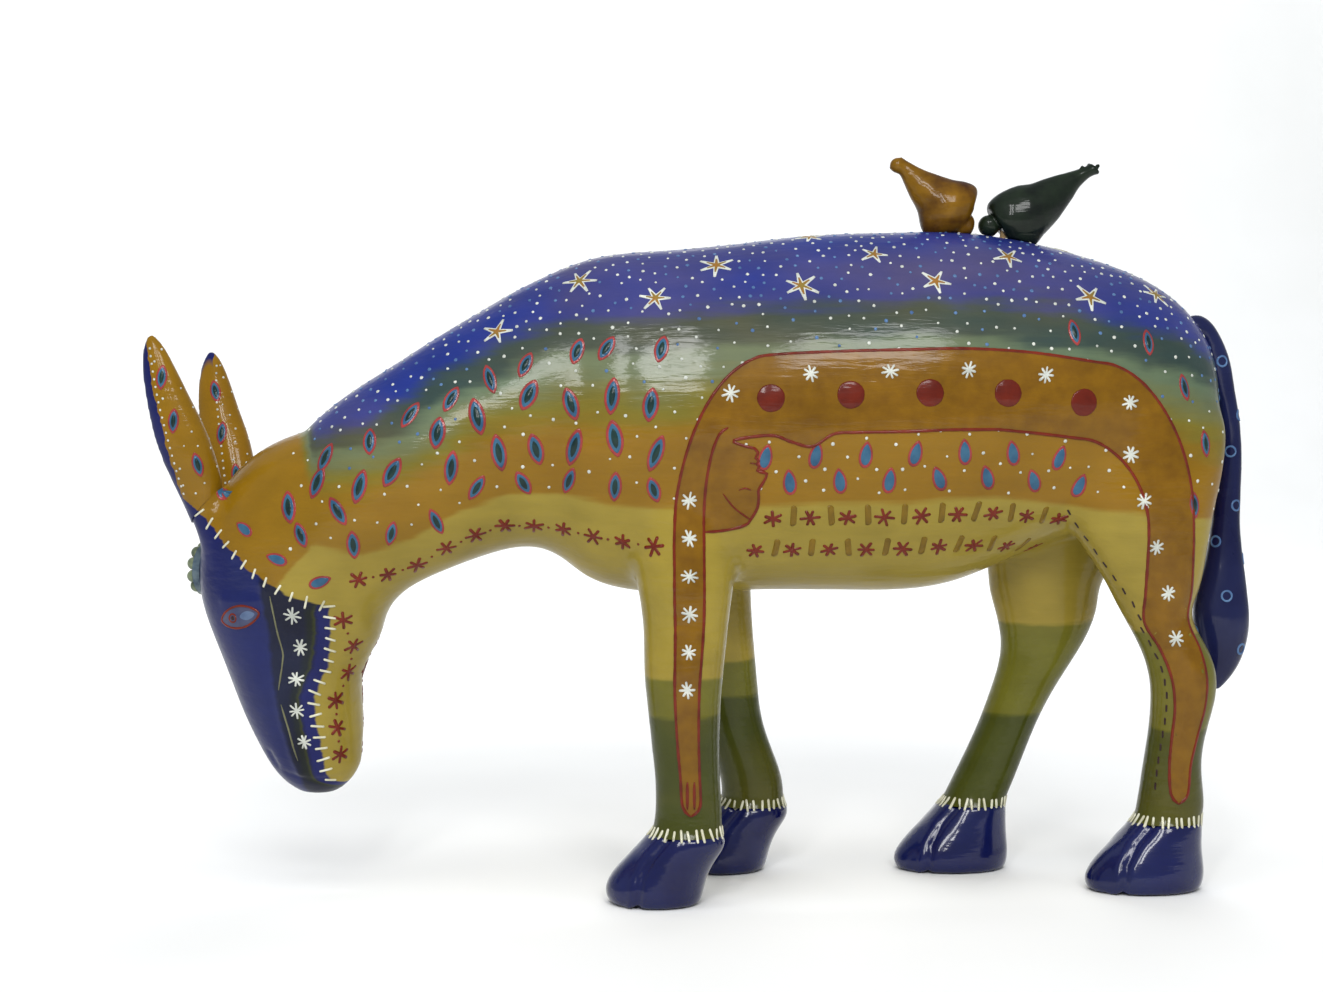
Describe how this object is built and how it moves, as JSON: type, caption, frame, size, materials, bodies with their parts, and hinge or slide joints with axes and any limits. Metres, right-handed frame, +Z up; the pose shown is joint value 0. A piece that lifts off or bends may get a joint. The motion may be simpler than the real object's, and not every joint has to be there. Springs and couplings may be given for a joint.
{
  "type": "carved donkey figurine",
  "caption": "Free-standing painted wooden figure of a grazing donkey with plug-in ears, tail and birds on its back; a shelf ornament resting on its hooves.",
  "frame": {"origin": "on the standing plane, under the middle of the figure's bounding box", "axes": "+Z up, -X towards the donkey's head, +X towards its tail, -Y out of its left flank"},
  "size_m": [0.4692, 0.1158, 0.3066],
  "materials": {
    "painted_wood": "brushed acrylic paint in sky, green, olive and ochre bands under gloss varnish",
    "ear_paint": "ochre paint with a dark blue front, gloss varnish",
    "leg_paint": "pale yellow fading to olive, gloss varnish",
    "hoof_paint": "navy blue paint, gloss varnish",
    "tail_paint": "navy blue paint with light blue rings, gloss varnish",
    "yellow_bird_paint": "ochre yellow paint, gloss varnish",
    "green_bird_paint": "dark green paint, gloss varnish",
    "wreath_disc_paint": "grey blue paint with small dark dots, satin",
    "wreath_bead_paint": "grey green paint, satin",
    "wreath_centre_paint": "pale grey blue paint, satin",
    "bare_dowel": "bare birch dowel, matt"
  },
  "bodies": {
    "carving": {"front_left_hoof": "hoof_paint", "front_left_leg": "leg_paint", "front_right_hoof": "hoof_paint", "front_right_leg": "leg_paint", "head": "painted_wood", "head_dowels": "bare_dowel", "hoof_dowels": "bare_dowel", "leg_dowels": "bare_dowel", "neck": "painted_wood", "neck_dowels": "bare_dowel", "rear_left_hoof": "hoof_paint", "rear_left_leg": "leg_paint", "rear_right_hoof": "hoof_paint", "rear_right_leg": "leg_paint", "torso": "painted_wood", "wreath_beads": "wreath_bead_paint", "wreath_centre": "wreath_centre_paint", "wreath_disc": "wreath_disc_paint"},
    "left_ear": {"left_ear": "ear_paint"},
    "right_ear": {"right_ear": "ear_paint"},
    "tail": {"tail": "tail_paint", "tail_peg": "bare_dowel"},
    "yellow_bird": {"yellow_bird": "yellow_bird_paint", "yellow_bird_peg": "bare_dowel"},
    "green_bird": {"green_bird": "green_bird_paint", "green_bird_peg": "bare_dowel"}
  },
  "joints": [
    {"name": "left_ear_pull", "type": "slide", "parent": "carving", "child": "left_ear", "axis": [-0.721, 0.1613, 0.6739], "range_m": [0, 0.018]},
    {"name": "right_ear_pull", "type": "slide", "parent": "carving", "child": "right_ear", "axis": [-0.6307, 0.3848, 0.6739], "range_m": [0, 0.018]},
    {"name": "tail_pull", "type": "slide", "parent": "carving", "child": "tail", "axis": [0.9063, 0, 0.4226], "range_m": [0, 0.022]},
    {"name": "yellow_bird_pull", "type": "slide", "parent": "carving", "child": "yellow_bird", "axis": [0, 0, 1], "range_m": [0, 0.012]},
    {"name": "green_bird_pull", "type": "slide", "parent": "carving", "child": "green_bird", "axis": [0.1392, 0, 0.9903], "range_m": [0, 0.012]}
  ]
}
